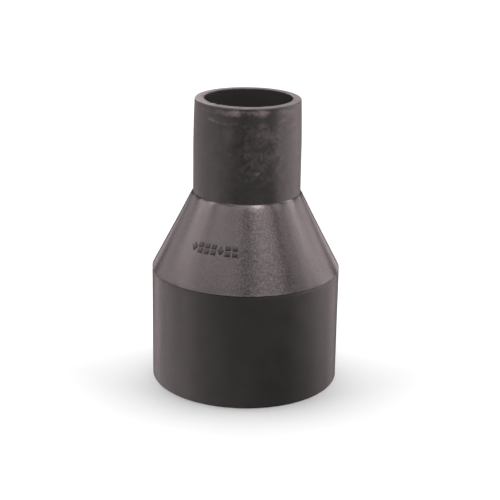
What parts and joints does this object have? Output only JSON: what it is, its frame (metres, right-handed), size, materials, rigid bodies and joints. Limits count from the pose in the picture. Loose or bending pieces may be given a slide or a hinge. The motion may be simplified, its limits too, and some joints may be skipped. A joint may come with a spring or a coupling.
{
  "type": "concentric pipe reducer",
  "caption": "Concentric polyethylene butt-fusion pipe reducer: a straight spigot at each end and a straight cone between them, with a clear bore through.",
  "frame": {"origin": "centre of the large end's flat fusion face, on which the fitting stands", "axes": "+Z along the bore from the large end to the small end; the row of raised marks is on the cone, on the -Y side towards -X"},
  "size_m": [0.16, 0.16, 0.244],
  "materials": {
    "pe_smooth": "smooth moulded black polyethylene, satin",
    "pe_textured": "finely grained moulded black polyethylene, matt",
    "pe_scuffed": "moulded black polyethylene, lightly scuffed, with turning streaks near the rim",
    "pe_mark": "raised moulded marks in black polyethylene"
  },
  "bodies": {
    "root": {"large_spigot": "pe_smooth", "reducing_cone": "pe_textured", "small_spigot": "pe_scuffed", "size_mark": "pe_mark"}
  },
  "joints": []
}
